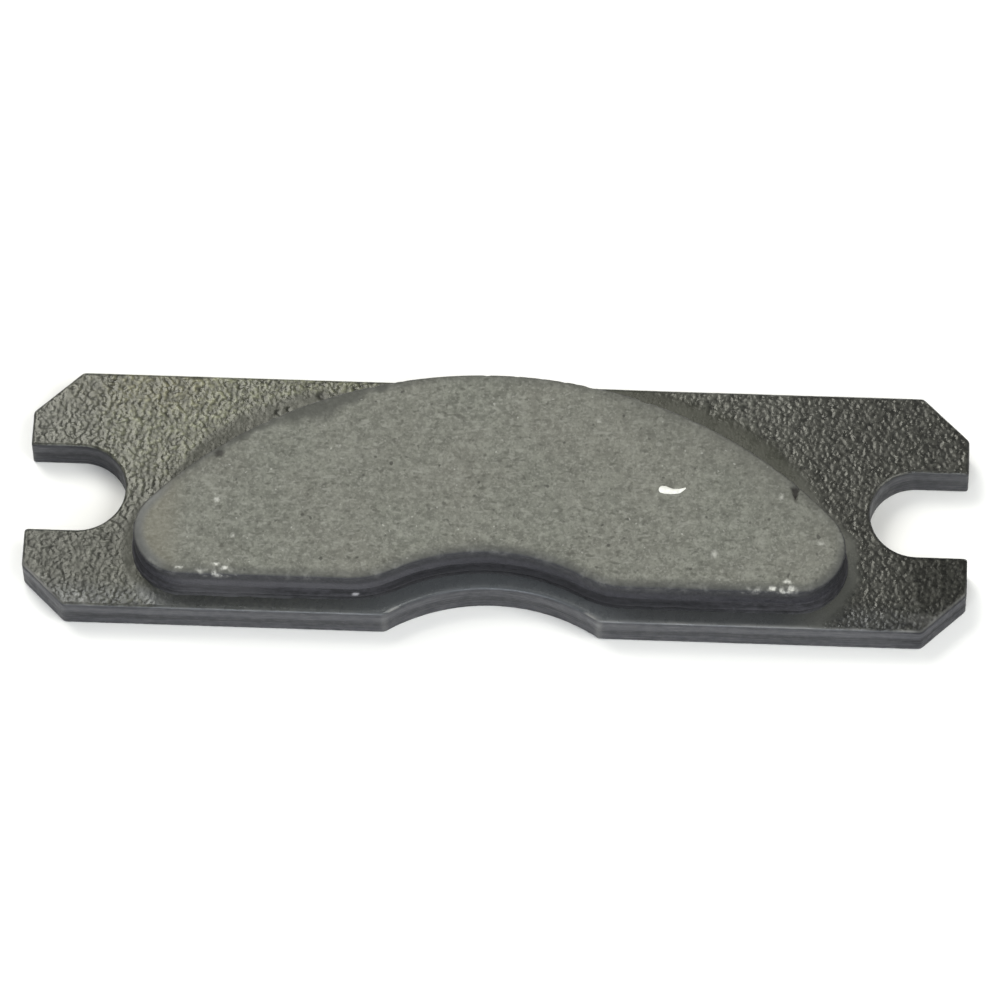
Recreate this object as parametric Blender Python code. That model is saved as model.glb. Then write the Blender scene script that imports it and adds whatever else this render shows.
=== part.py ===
"""Brake pad for a fixed-caliper disc brake, held on two guide pins.

A steel backing plate with an open slot at each end carries a moulded friction lining. Between the two
lie an adhesive film and a thin insulating underlayer. All four pieces are bonded and nothing moves.

Frame: metres, +Z up. The origin is the centre of the plate's back face, the face that the piston pushes.
+X runs along the plate, +Y towards the lining's long outer curve, +Z from the plate to the disc.
"""

import math

import bmesh
import bpy

MM = 0.001

# Backing plate
PLATE_LENGTH = 150.0 * MM
PLATE_WIDTH = 42.5 * MM
PLATE_THICKNESS = 6.0 * MM
BACK_CHAMFER = 7.5 * MM  # the two corners beside the lining's outer curve
FRONT_CHAMFER = 7.0 * MM  # the two corners beside the hub arch
SLOT_WIDTH = 15.0 * MM
SLOT_DEPTH = 15.6 * MM  # from the plate's end to the bottom of the slot's round
HUB_ARCH_RADIUS = 30.0 * MM
HUB_ARCH_DEPTH = 5.3 * MM
FRONT_RIM_ROUND = 0.6 * MM  # the punch rolls the edges over on the lining's side
BACK_RIM_ROUND = 0.3 * MM

# Moulded lining, seen from above
LINING_SHIFT_X = -0.75 * MM  # the mould sits slightly off the plate's centre
LINING_OUTER_RADIUS = 73.0 * MM
LINING_OUTER_APEX_Y = 19.55 * MM
LINING_TIP_RADIUS = 8.15 * MM
LINING_FRONT_Y = -18.35 * MM
LINING_SHOULDER_RADIUS = 14.6 * MM  # between each straight front run and the inner arch
LINING_ARCH_RADIUS = 31.5 * MM
LINING_ARCH_APEX_Y = -12.8 * MM

# Layers, from the plate upwards. Every bonded joint is left open by the same small gap.
JOINT_GAP = 0.3 * MM
BOND_THICKNESS = 0.3 * MM
BOND_MARGIN = 0.6 * MM  # how far the film squeezes out past the lining's wall
UNDERLAYER_THICKNESS = 1.5 * MM
SKIRT_FLARE = 0.4 * MM  # how far the underlayer's foot spreads
LINING_THICKNESS = 3.8 * MM
LINING_EDGE_ROUND = 0.7 * MM

# Fineness of the curves
ARC_STEP = math.radians(6.0)
LONGEST_CHORD = 2.0 * MM
ROUND_STEPS = 4
SMOOTH_ANGLE = math.radians(30.0)


def arc(centre, radius, start, end):
    """Points along an arc from one angle to another, both ends included."""
    sweep = abs(end - start)
    steps = math.ceil(max(sweep / ARC_STEP, sweep * radius / LONGEST_CHORD))
    points = []
    for i in range(steps + 1):
        angle = start + (end - start) * i / steps
        x = centre[0] + radius * math.cos(angle)
        y = centre[1] + radius * math.sin(angle)
        points.append((x, y))
    return points


def mirrored(points):
    """The same run of points on the -X side, walked the other way."""
    return [(-x, y) for x, y in reversed(points)]


def closed_outline(right_half):
    """A whole outline from its right half, which starts and ends on the plate's centre line."""
    return right_half + mirrored(right_half)[1:-1]


def plate_outline():
    """The backing plate from above, anticlockwise from the middle of the hub arch."""
    half_length = PLATE_LENGTH / 2
    half_width = PLATE_WIDTH / 2
    half_slot = SLOT_WIDTH / 2
    arch_centre = (0.0, -half_width + HUB_ARCH_DEPTH - HUB_ARCH_RADIUS)
    arch_end = math.asin((-half_width - arch_centre[1]) / HUB_ARCH_RADIUS)
    slot_centre = (half_length - SLOT_DEPTH + half_slot, 0.0)

    right = arc(arch_centre, HUB_ARCH_RADIUS, math.pi / 2, arch_end)
    right.append((half_length - FRONT_CHAMFER, -half_width))
    right.append((half_length, -half_width + FRONT_CHAMFER))
    right.append((half_length, -half_slot))
    right += arc(slot_centre, half_slot, -math.pi / 2, -3 * math.pi / 2)
    right.append((half_length, half_slot))
    right.append((half_length, half_width - BACK_CHAMFER))
    right.append((half_length - BACK_CHAMFER, half_width))
    right.append((0.0, half_width))
    return closed_outline(right)


def lining_outline(margin=0.0):
    """The lining from above, anticlockwise, grown outwards by a margin. Every arc keeps its centre."""
    arch_centre = (0.0, LINING_ARCH_APEX_Y - LINING_ARCH_RADIUS)
    outer_centre = (0.0, LINING_OUTER_APEX_Y - LINING_OUTER_RADIUS)

    # The shoulder touches the straight front run and the inner arch.
    shoulder_y = LINING_FRONT_Y + LINING_SHOULDER_RADIUS
    shoulder_rise = shoulder_y - arch_centre[1]
    shoulder_reach = LINING_SHOULDER_RADIUS + LINING_ARCH_RADIUS
    shoulder_x = math.sqrt(shoulder_reach**2 - shoulder_rise**2)
    shoulder_angle = math.atan2(shoulder_rise, shoulder_x)

    # The tip touches the straight front run, and the outer arc from inside.
    tip_y = LINING_FRONT_Y + LINING_TIP_RADIUS
    tip_rise = tip_y - outer_centre[1]
    tip_reach = LINING_OUTER_RADIUS - LINING_TIP_RADIUS
    tip_x = math.sqrt(tip_reach**2 - tip_rise**2)
    tip_angle = math.atan2(tip_rise, tip_x)

    right = arc(arch_centre, LINING_ARCH_RADIUS - margin, math.pi / 2, shoulder_angle)
    right += arc(
        (shoulder_x, shoulder_y),
        LINING_SHOULDER_RADIUS + margin,
        math.pi + shoulder_angle,
        1.5 * math.pi,
    )[1:]
    right += arc((tip_x, tip_y), LINING_TIP_RADIUS + margin, -math.pi / 2, tip_angle)
    right += arc(outer_centre, LINING_OUTER_RADIUS + margin, tip_angle, math.pi / 2)[1:]
    return closed_outline(right)


def stacked_body(levels):
    """A closed bmesh body from outlines of equal length, each given with its height, lowest first."""
    bm = bmesh.new()
    loops = []
    for height, outline in levels:
        loops.append([bm.verts.new((x, y, height)) for x, y in outline])
    for lower, upper in zip(loops, loops[1:]):
        for i in range(len(lower)):
            following = (i + 1) % len(lower)
            bm.faces.new((lower[i], lower[following], upper[following], upper[i]))
    bm.faces.new(list(reversed(loops[0])))
    bm.faces.new(loops[-1])
    return bm


def round_rim(bm, flat_face, radius):
    """Rounds the edges between a flat face and the upright sides around it."""
    bmesh.ops.bevel(
        bm,
        geom=list(flat_face.edges),
        offset=radius,
        segments=ROUND_STEPS,
        profile=0.5,
        affect="EDGES",
    )


def make_material(name, colour, roughness, metallic=0.0):
    """A Principled material with one colour."""
    material = bpy.data.materials.new(name)
    material.use_nodes = True
    shader = material.node_tree.nodes["Principled BSDF"]
    shader.inputs["Base Color"].default_value = (*colour, 1.0)
    shader.inputs["Roughness"].default_value = roughness
    shader.inputs["Metallic"].default_value = metallic
    return material


def add_piece(name, bm, material, parent, location):
    """Turns a bmesh into a named, smooth-shaded object under the pad's empty."""
    bmesh.ops.recalc_face_normals(bm, faces=bm.faces)
    mesh = bpy.data.meshes.new(name)
    bm.to_mesh(mesh)
    bm.free()
    mesh.shade_smooth()
    mesh.set_sharp_from_angle(angle=SMOOTH_ANGLE)
    mesh.materials.append(material)
    piece = bpy.data.objects.new(name, mesh)
    bpy.context.scene.collection.objects.link(piece)
    piece.parent = parent
    piece.location = location
    return piece


def add_backing_plate(parent):
    """The punched steel plate, with its back face on the frame's origin and its rims rounded."""
    outline = plate_outline()
    bm = stacked_body([(0.0, outline), (PLATE_THICKNESS, outline)])
    bm.normal_update()
    by_height = sorted(bm.faces, key=lambda face: face.normal.z)
    back_face, front_face = by_height[0], by_height[-1]
    round_rim(bm, front_face, FRONT_RIM_ROUND)
    round_rim(bm, back_face, BACK_RIM_ROUND)
    paint = make_material("black_paint", (0.055, 0.056, 0.052), 0.45, 0.1)
    return add_piece("backing_plate", bm, paint, parent, (0.0, 0.0, 0.0))


def add_bond_layer(parent, base):
    """The thin film of phenolic adhesive, squeezed out a little past the lining's wall."""
    outline = lining_outline(BOND_MARGIN)
    bm = stacked_body([(0.0, outline), (BOND_THICKNESS, outline)])
    resin = make_material("phenolic_resin", (0.060, 0.058, 0.060), 0.6)
    return add_piece("bond_layer", bm, resin, parent, (LINING_SHIFT_X, 0.0, base))


def add_underlayer(parent, base):
    """The insulating layer under the lining. Its foot spreads in a concave quarter round."""
    levels = []
    for i in range(ROUND_STEPS + 1):
        angle = math.pi / 2 * i / ROUND_STEPS
        flare = SKIRT_FLARE * (1.0 - math.sin(angle))
        height = UNDERLAYER_THICKNESS * (1.0 - math.cos(angle))
        levels.append((height, lining_outline(flare)))
    bm = stacked_body(levels)
    composite = make_material("underlayer_composite", (0.050, 0.049, 0.053), 0.8)
    return add_piece("underlayer", bm, composite, parent, (LINING_SHIFT_X, 0.0, base))


def add_friction_lining(parent, base):
    """The wear layer that presses on the disc, with a small round along its upper edge."""
    levels = [(0.0, lining_outline())]
    for i in range(ROUND_STEPS + 1):
        angle = math.pi / 2 * i / ROUND_STEPS
        inset = LINING_EDGE_ROUND * (1.0 - math.cos(angle))
        drop = LINING_EDGE_ROUND * (1.0 - math.sin(angle))
        levels.append((LINING_THICKNESS - drop, lining_outline(-inset)))
    bm = stacked_body(levels)
    composite = make_material("friction_composite", (0.220, 0.222, 0.196), 0.85)
    return add_piece("friction_lining", bm, composite, parent, (LINING_SHIFT_X, 0.0, base))


def build_brake_pad():
    """Clears the scene, then stacks the four bonded pieces on the plate's back face."""
    for existing in list(bpy.data.objects):
        bpy.data.objects.remove(existing)
    pad = bpy.data.objects.new("brake_pad", None)
    bpy.context.scene.collection.objects.link(pad)

    bond_base = PLATE_THICKNESS + JOINT_GAP
    underlayer_base = bond_base + BOND_THICKNESS + JOINT_GAP
    lining_base = underlayer_base + UNDERLAYER_THICKNESS + JOINT_GAP
    add_backing_plate(pad)
    add_bond_layer(pad, bond_base)
    add_underlayer(pad, underlayer_base)
    add_friction_lining(pad, lining_base)


build_brake_pad()
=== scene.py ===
import math

import bmesh
import bpy
import numpy as np
from mathutils import Matrix, Vector, geometry, kdtree, noise


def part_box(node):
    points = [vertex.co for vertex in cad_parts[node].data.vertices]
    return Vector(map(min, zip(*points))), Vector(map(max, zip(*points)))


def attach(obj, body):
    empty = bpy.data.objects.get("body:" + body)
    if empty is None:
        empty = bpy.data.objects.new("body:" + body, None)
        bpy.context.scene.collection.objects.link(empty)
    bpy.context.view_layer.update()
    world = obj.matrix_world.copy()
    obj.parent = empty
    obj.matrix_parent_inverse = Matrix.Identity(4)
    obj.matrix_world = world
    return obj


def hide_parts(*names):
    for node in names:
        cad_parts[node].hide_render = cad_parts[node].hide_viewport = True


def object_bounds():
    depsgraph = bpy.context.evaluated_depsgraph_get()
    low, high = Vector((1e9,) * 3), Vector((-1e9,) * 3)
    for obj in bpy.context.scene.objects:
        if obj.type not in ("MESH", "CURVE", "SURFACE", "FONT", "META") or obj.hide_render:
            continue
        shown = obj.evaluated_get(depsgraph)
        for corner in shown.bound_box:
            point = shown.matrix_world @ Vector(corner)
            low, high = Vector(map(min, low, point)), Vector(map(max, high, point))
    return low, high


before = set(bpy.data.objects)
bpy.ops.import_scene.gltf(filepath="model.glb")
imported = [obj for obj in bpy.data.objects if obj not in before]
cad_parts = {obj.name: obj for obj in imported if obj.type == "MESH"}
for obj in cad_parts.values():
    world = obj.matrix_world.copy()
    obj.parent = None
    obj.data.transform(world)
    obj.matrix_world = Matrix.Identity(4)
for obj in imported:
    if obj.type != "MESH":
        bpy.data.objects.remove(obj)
CAD_LOW, CAD_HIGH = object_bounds()

# A brake pad: painted steel plate, adhesive film, underlayer and friction lining, all on one rigid body.
# Every surface follows the outline of its CAD node. +X runs along the plate, +Y towards the lining's long
# outer curve and +Z away from the plate; the front is the -Y side. Lengths are in metres, and in
# millimetres where a comment says so.
MM = 0.001

PLATE_LOW, PLATE_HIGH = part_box("backing_plate")
BOND_LOW, BOND_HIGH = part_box("bond_layer")
UNDER_LOW, UNDER_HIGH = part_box("underlayer")
LINING_LOW, LINING_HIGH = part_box("friction_lining")

# Rims and edges
FRONT_RIM = 0.6 * MM
BACK_RIM = 0.3 * MM
LINING_ROUND = 0.7 * MM

# Fineness of the meshes
PLATE_STEP = 0.235 * MM
PLATE_BACK_STEP = 0.8 * MM
HIDDEN_STEP = 1.6 * MM  # the plate under the lining, and the faces inside the joints
FINE_UNDER_LINING = 1.5 * MM  # how far under the lining the plate's fine mesh reaches
COARSE_UNDER_LINING = 2.2 * MM  # and where its coarse mesh starts
WALL_STEP = 0.38 * MM
LINING_STEP = 0.33 * MM
RIM_ROWS = 5
SKIRT_ROWS = 6
SHARP_ANGLE = math.radians(75)

# Hammered paint on the plate's lining side
PEBBLE_SIZE = 0.56 * MM
PEBBLE_HEIGHT = 0.105 * MM
BACK_SHARE = 0.35  # how high the pebbles on the back are, compared with the front
BAND_AT_TIPS = 0.9 * MM  # the mould pressed the paint smooth this far out from the lining
BAND_IN_FRONT = 2.8 * MM
BAND_BEHIND = 4.0 * MM
FADE_AT_TIPS = 2.6 * MM  # and beyond that it takes this far to turn into hammered paint
FADE_ELSEWHERE = 3.6 * MM
BAND_GAP = (-22.0 * MM, 9.0 * MM)  # centre and reach along X of the place where the band behind is missing
FAINT_SHARE = 0.3
PIT_DEPTH = 0.09 * MM
PAINT_PITS = (  # centre and radius, in millimetres
    ((-29.0, 18.1), 0.85),
    ((-35.9, 14.8), 0.60),
    ((-34.1, 15.5), 0.50),
    ((-49.8, 7.0), 0.50),
)
SCUFFS = (  # centre, reach along X and along Y, strength; in millimetres
    ((-66.0, -20.0), (4.5, 1.5), 1.0),
    ((68.0, -19.0), (3.5, 1.5), 1.0),
)
# Arch corners: worn paint with a painted highlight; uprights: a painted highlight only
RUBBED_AND_HIGHLIT_CORNERS = (((-15.4, -20.6), 1.5), ((15.6, -20.6), 1.5))  # where the hub arch meets the front edge
HIGHLIT_UPRIGHTS = (((-17.0, -21.2), 0.8), ((17.0, -21.2), 0.8))  # the upright edges under those corners

# Sheared walls of the plate
SCORE_DEPTH = 0.025 * MM
TEAR_DEPTH = 0.02 * MM

# Ground face of the lining
FACE_DROP = 0.12 * MM  # how far the ground face lies under the CAD's top, so that the paint dab fits
GRAIN_HEIGHT = 0.035 * MM
PORE_DEPTH = 0.07 * MM
FLAKE_DEPTH = 0.07 * MM
FACE_PIT_DEPTH = 0.15 * MM
FACE_CHIPS = (  # centre, reach along X and along Y, strength; in millimetres
    ((44.3, -17.6), (0.65, 0.55), 1.0),
    ((46.5, -16.4), (0.80, 0.50), 1.0),
    ((47.2, -17.6), (0.75, 0.55), 1.0),
    ((45.2, -1.2), (0.45, 0.90), 0.4),
    ((51.6, -9.3), (0.70, 0.50), 0.4),
    ((34.9, -11.8), (0.60, 0.80), 0.45),
    ((-44.2, -4.9), (0.45, 0.50), 0.7),
    ((-41.3, -11.2), (0.45, 0.50), 0.7),
    ((-43.7, -16.5), (0.90, 0.40), 1.0),
    ((-42.2, -17.1), (0.80, 0.40), 1.0),
    ((-49.4, -17.3), (0.80, 0.35), 0.8),
    ((15.8, 11.5), (0.40, 0.35), 0.4),
    ((-25.4, 5.6), (0.35, 0.40), 0.4),
)
FACE_PITS = (((-44.2, 3.5), 0.95),)  # centre and radius, in millimetres

# Edge of the lining
CHIP_DEPTH = 0.32 * MM
EDGE_CHIPS = (  # centre, reach along X and along Y, strength; in millimetres
    ((-43.4, -17.4), (3.6, 1.8), 1.0),
    ((45.8, -17.6), (3.2, 1.8), 0.8),
    ((41.0, -18.2), (2.0, 1.2), 0.4),
)
DARK_BAND_WIDTH = 1.3 * MM  # the dark rough band along the outer edge's left half
DARK_BAND_BULGE = 2.6 * MM  # how much wider the band is at its widest
DARK_BAND_PLACE = (-28.0 * MM, 5.0 * MM)  # where along X it is widest, and how far that reaches
SOFT_DARK_SHARE = 0.28  # how dark the wide soft band along the outer edge's right half is
NOTCH_HEAD = (47.35, 0.7)  # the small V-shaped nick, in millimetres
NOTCH_TIP = (47.45, -2.1)
NOTCH_HALF_WIDTH = 0.85
NOTCH_DEPTH = 0.6 * MM
BEVEL_WIDTH = 2.3 * MM  # the left tip's ground bevel
BEVEL_DROP = 0.22 * MM

# Moulded walls, and the two layers under the lining
MOULDED_WAVES = 0.06 * MM
MOULDED_GRAIN = 0.035 * MM
UNDER_SUNK = 0.25 * MM  # how far each layer reaches into the one below it, which closes the joint
UNDER_LAP = 0.05 * MM  # and into the one above it
BOND_SUNK = 0.12 * MM
BOND_LAP = 0.1 * MM
BOND_RAGGED = 0.35 * MM
FLAKE_PLACE = (-21.6 * MM, -18.4 * MM, 7.2 * MM)  # the pale fleck on the underlayer's front wall
FLAKE_REACH = (0.75 * MM, 1.0 * MM, 0.45 * MM)

# Comma of white paint on the lining's face: places along its spine and its half widths there, in millimetres
DAB_SPINE = ((25.75, -0.42), (26.8, -0.60), (27.9, -0.84), (29.0, -0.74), (30.0, -0.15))
DAB_RADII = (0.66, 0.72, 0.52, 0.42, 0.14)
DAB_BLUNT = 0.12  # the share of the dab's length that its blunt end takes
DAB_SUNK = 0.05 * MM
DAB_STEPS = 40
DAB_SIDES = 16

# Tones of the ground face, each laid over the ones before it: the noise's feature size in millimetres, its
# detail and offset, the values where the tone starts and is full, how much of it shows, and its colour
GROUND_TONES = (
    (14.0, 2.0, 3.0, 0.30, 0.70, 0.35, (0.132, 0.125, 0.110)),  # warm clouds
    (2.6, 2.0, 5.0, 0.50, 0.68, 0.23, (0.072, 0.073, 0.063)),  # mottling, dark and then pale
    (2.6, 2.0, 5.0, 0.50, 0.32, 0.23, (0.190, 0.193, 0.170)),
    (0.42, 1.0, 71.0, 0.52, 0.72, 0.45, (0.070, 0.071, 0.061)),  # grit, dark and then pale
    (0.42, 1.0, 71.0, 0.48, 0.28, 0.45, (0.205, 0.208, 0.183)),
    ((1.5, 0.7, 1.0), 1.0, 11.0, 0.58, 0.74, 0.55, (0.205, 0.207, 0.185)),  # pale flecks
    ((0.7, 0.8, 1.0), 1.0, 12.0, 0.58, 0.74, 0.55, (0.205, 0.207, 0.185)),
    ((1.6, 0.8, 1.0), 1.0, 21.0, 0.60, 0.76, 0.65, (0.060, 0.060, 0.051)),  # dark flecks
    ((0.8, 0.8, 1.0), 1.0, 22.0, 0.60, 0.76, 0.65, (0.060, 0.060, 0.051)),
    (0.6, 0.0, 31.0, 0.80, 0.86, 0.40, (0.400, 0.400, 0.375)),  # specks of metal
)

# Camera and light
CAMERA_ANGLES = (4.1, 61.3, -1.77)  # round the pad, above the floor, and roll, in degrees
CAMERA_DISTANCE = 1.32
CAMERA_SLIDE = (0.36 * MM, 2.97 * MM)  # sideways and up
CAMERA_LENS = 297.2  # in millimetres, like the sensor's width
CAMERA_SENSOR = 36.0
CAMERA_REACH = 20.0
FLOOR_HALF = 0.6
FLOOR_GAP = 0.02 * MM
WORLD_COLOUR = (0.98, 1.0, 0.97, 1.0)
WORLD_STRENGTH = 0.35
WORLD_AS_SEEN = 1.0  # the camera sees the surrounding as pale as the floor; the strength above lights the pad
SOFTBOXES = (  # name, place, size, power, colour
    ("back_left_key", (-0.36, 0.42, 0.74), (0.55, 0.55), 7.0, (1.0, 0.99, 0.93)),
    ("right_fill", (0.55, -0.25, 0.80), (0.6, 0.6), 6.0, (1.0, 1.0, 0.96)),
    ("front_fill", (-0.1, -0.95, 0.45), (0.9, 0.5), 7.0, (0.90, 0.94, 1.0)),
)


# ---------------------------------------------------------------- outlines

def section_outline(node, height):
    """A CAD node's outline at one height, as an anticlockwise array of points."""
    bm = bmesh.new()
    bm.from_mesh(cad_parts[node].data)
    bmesh.ops.remove_doubles(bm, verts=bm.verts, dist=0.001 * MM)
    everything = bm.verts[:] + bm.edges[:] + bm.faces[:]
    cut = bmesh.ops.bisect_plane(bm, geom=everything, plane_co=(0, 0, height), plane_no=(0, 0, 1))
    edges = {item for item in cut["geom_cut"] if isinstance(item, bmesh.types.BMEdge)}
    edge = min(edges, key=lambda cut_edge: [tuple(end.co) for end in cut_edge.verts])
    vertex = edge.verts[0]
    loop = []
    while edge is not None:
        loop.append((vertex.co.x, vertex.co.y))
        vertex = edge.other_vert(vertex)
        edges.discard(edge)
        edge = next((other for other in vertex.link_edges if other in edges), None)
    bm.free()
    outline = np.array(loop)
    return outline if signed_area(outline) > 0 else outline[::-1]


def signed_area(outline):
    """Positive for an anticlockwise outline."""
    x, y = outline.T
    return 0.5 * np.sum(x * np.roll(y, -1) - y * np.roll(x, -1))


def evenly_spaced(outline, step, passes=3):
    """The closed outline with points one step apart, its facets and corners eased by a few passes."""
    closed = np.vstack([outline, outline[:1]])
    lengths = np.hypot(*np.diff(closed, axis=0).T)
    along = np.concatenate([[0.0], np.cumsum(lengths)])
    count = int(round(along[-1] / step))
    wanted = np.linspace(0.0, along[-1], count, endpoint=False)
    points = np.column_stack([np.interp(wanted, along, closed[:, axis]) for axis in (0, 1)])
    for _ in range(passes):
        points = 0.5 * points + 0.25 * (np.roll(points, 1, axis=0) + np.roll(points, -1, axis=0))
    return points


def outward_normals(outline):
    """Unit normals that point out of an anticlockwise outline."""
    tangent = np.roll(outline, -1, axis=0) - np.roll(outline, 1, axis=0)
    normal = np.column_stack([tangent[:, 1], -tangent[:, 0]])
    return normal / np.linalg.norm(normal, axis=1, keepdims=True)


def depth_inside(points, outline):
    """How far each point lies inside a closed outline. Points outside it get a negative depth."""
    count = len(outline)
    tree = kdtree.KDTree(count)
    for i, (x, y) in enumerate(outline):
        tree.insert((x, y, 0.0), i)
    tree.balance()
    nearest = np.array([tree.find((x, y, 0.0))[1] for x, y in points])
    gap = np.full(len(points), np.inf)
    for step in (-1, 1):
        start = outline[nearest]
        span = outline[(nearest + step) % count] - start
        share = np.clip(((points - start) * span).sum(axis=1) / (span**2).sum(axis=1), 0.0, 1.0)
        gap = np.minimum(gap, np.linalg.norm(points - start - share[:, None] * span, axis=1))
    outward = ((points - outline[nearest]) * outward_normals(outline)[nearest]).sum(axis=1)
    return np.where(outward > 0.0, -gap, gap)


def filling_points(outline, step, clear, seed):
    """Jittered points in a honeycomb inside an outline, kept a clear distance from it."""
    low, high = outline.min(axis=0), outline.max(axis=0)
    row_step = step * math.sqrt(3) / 2
    columns = np.arange(low[0], high[0], step)
    rows = np.arange(low[1], high[1], row_step)
    grid_x, grid_y = np.meshgrid(columns, rows)
    grid_x = grid_x + np.where(np.arange(len(rows)) % 2, step / 2, 0.0)[:, None]
    points = np.column_stack([grid_x.ravel(), grid_y.ravel()])
    points += np.random.default_rng(seed).uniform(-0.18, 0.18, points.shape) * step
    return points[depth_inside(points, outline) > clear]


def rim_points(outline, radius):
    """Points inside an outline, in rows that a quarter-round rim of this radius needs."""
    rows = []
    for i in range(1, RIM_ROWS + 1):
        inset = radius * (1.0 - math.cos(math.pi / 2 * i / RIM_ROWS))
        row = outline - outward_normals(outline) * inset
        rows.append(row[depth_inside(row, outline) > 0.97 * inset])
    return np.vstack(rows)


# ---------------------------------------------------------------- meshes

def smoothstep(value, low, high):
    """0 below low, 1 above high, and a smooth rise between."""
    t = np.clip((value - low) / (high - low), 0.0, 1.0)
    return t * t * (3.0 - 2.0 * t)


def bump_along(value, place):
    """1 at a place's centre along an axis, and falling smoothly over its reach."""
    middle, reach = place
    return np.exp(-(((value - middle) / reach) ** 2))


def noise_at(points, size, seed=0.0):
    """Smooth noise from about -1 to 1 with features of one size, or one size for each axis."""
    scaled = points / np.asarray(size) + seed
    return np.array([noise.noise(Vector(p)) for p in scaled])


def rim_rise(depth, radius):
    """Height gained over a quarter-round rim at some distance in from its outline."""
    short = np.clip(radius - depth, 0.0, radius)
    return np.sqrt(radius**2 - short**2)


def flat_fill(rim, inner_points):
    """Triangles that fill a rim, as indices that run through the rim and then the inner points."""
    flat = [Vector(p) for p in np.vstack([rim, inner_points])]
    count = len(rim)
    rim_edges = [(i, (i + 1) % count) for i in range(count)]
    made = geometry.delaunay_2d_cdt(flat, rim_edges, [], 1, 1e-9)
    source = [given[0] for given in made[3]]
    return [tuple(source[i] for i in face) for face in made[2]]


def upright_wall(low, high):
    """The profile of a straight wall, in rows about one wall step apart."""
    return [(height, 0.0) for height in np.linspace(low, high, int((high - low) / WALL_STEP))]


def layered_body(name, outline, profile, bottom, top):
    """A closed mesh object: walls through (height, inset) pairs, with the two end rings filled.

    Bottom and top are each a rim radius and the points inside the ring. The rim curves away from the wall.
    """
    normals = outward_normals(outline)
    rings = []
    for height, inset in profile:
        ring = outline - normals * inset
        rings.append(np.column_stack([ring, np.full(len(ring), height)]))
    count = len(outline)
    faces = []
    for level in range(len(rings) - 1):
        low, high = level * count, (level + 1) * count
        for i in range(count):
            j = (i + 1) % count
            faces.append((low + i, low + j, high + j, high + i))

    parts = [np.vstack(rings)]
    total = len(parts[0])
    ends = ((rings[0], 0, bottom, -1), (rings[-1], total - count, top, 1))
    for ring, first, (radius, inner), outward in ends:
        rise = rim_rise(depth_inside(inner, ring[:, :2]), radius)
        parts.append(np.column_stack([inner, ring[0, 2] + outward * rise]))
        index = list(range(first, first + count)) + list(range(total, total + len(inner)))
        for face in flat_fill(ring[:, :2], inner):
            faces.append(tuple(index[i] for i in face[::outward]))
        total += len(inner)
    return mesh_object(name, np.vstack(parts), faces)


def mesh_object(name, vertices, faces):
    """A smooth-shaded object from vertices and faces, in place in the frame."""
    mesh = bpy.data.meshes.new(name)
    mesh.from_pydata(vertices.tolist(), [], faces)
    mesh.update()
    mesh.shade_smooth()
    mesh.set_sharp_from_angle(angle=SHARP_ANGLE)
    piece = bpy.data.objects.new(name, mesh)
    bpy.context.scene.collection.objects.link(piece)
    return piece


def vertex_arrays(piece):
    """Positions and normals of a piece's vertices."""
    count = len(piece.data.vertices)
    points = np.empty(count * 3, np.float32)
    normals = np.empty(count * 3, np.float32)
    piece.data.vertices.foreach_get("co", points)
    piece.data.vertex_normals.foreach_get("vector", normals)
    return points.reshape(-1, 3).astype(float), normals.reshape(-1, 3).astype(float)


def set_points(piece, points, low, high):
    """Moves a piece's vertices, kept inside a box."""
    kept = np.clip(points, np.array(low), np.array(high))
    piece.data.vertices.foreach_set("co", kept.astype(np.float32).ravel())
    piece.data.update()


def set_mask(piece, name, values):
    """Stores one number for each vertex, for a material to read."""
    attribute = piece.data.attributes.new(name, "FLOAT", "POINT")
    attribute.data.foreach_set("value", np.asarray(values, np.float32))


def near_spots(points, spots, core):
    """1 in the core of each spot, falling to 0 at its radius. Spots are in millimetres."""
    near = np.zeros(len(points))
    ragged = 0.3 * noise_at(points, 0.5 * MM, 33.0)
    for centre, radius in spots:
        distance = np.linalg.norm(points[:, :2] / MM - np.array(centre), axis=1) / radius + ragged
        near = np.maximum(near, 1.0 - smoothstep(distance, core, 1.0))
    return near


def spread_spots(points, spots):
    """Each spot's strength at its centre, falling to 0 at its reach. Spots are in millimetres."""
    near = np.zeros(len(points))
    ragged = 0.3 * noise_at(points, 0.5 * MM, 33.0)
    for centre, reach, strength in spots:
        offset = (points[:, :2] / MM - np.array(centre)) / np.array(reach)
        distance = np.linalg.norm(offset, axis=1) + ragged
        near = np.maximum(near, strength * (1.0 - smoothstep(distance, 0.4, 1.0)))
    return near


# ---------------------------------------------------------------- backing plate

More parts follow.
